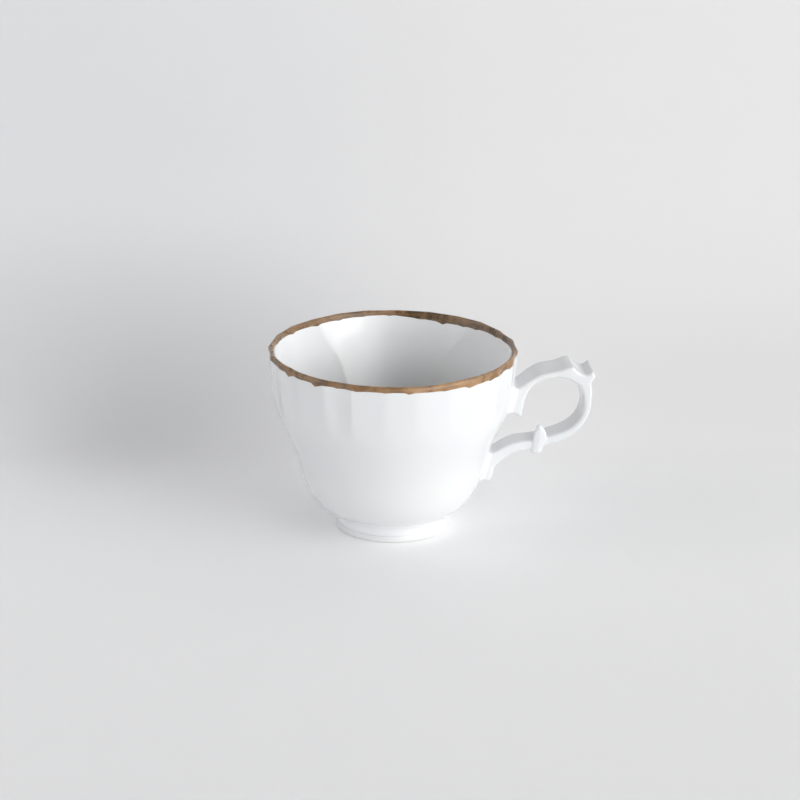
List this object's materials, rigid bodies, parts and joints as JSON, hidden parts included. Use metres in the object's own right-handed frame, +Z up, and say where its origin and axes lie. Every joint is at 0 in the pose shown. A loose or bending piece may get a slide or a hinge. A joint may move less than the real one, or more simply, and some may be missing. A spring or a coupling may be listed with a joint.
{
  "type": "teacup",
  "caption": "Footed porcelain teacup with a fluted bowl, an ornate strap handle and a brown fired band round the lip.",
  "frame": {"origin": "centre of the foot's resting plane, on the bowl's axis", "axes": "+Z up along the bowl's axis; +X towards the handle"},
  "size_m": [0.1178, 0.0892, 0.068],
  "materials": {
    "porcelain": "glossy clear glaze over white porcelain",
    "slip": "fired slip under the glaze",
    "band": "hand-brushed brown enamel, semi-gloss"
  },
  "bodies": {
    "root": {"cup_body": "porcelain", "foot_ring": "porcelain", "foot_slip": "slip", "rim_band": "band", "handle": "porcelain", "handle_slip_upper": "slip", "handle_slip_lower": "slip"}
  },
  "joints": []
}
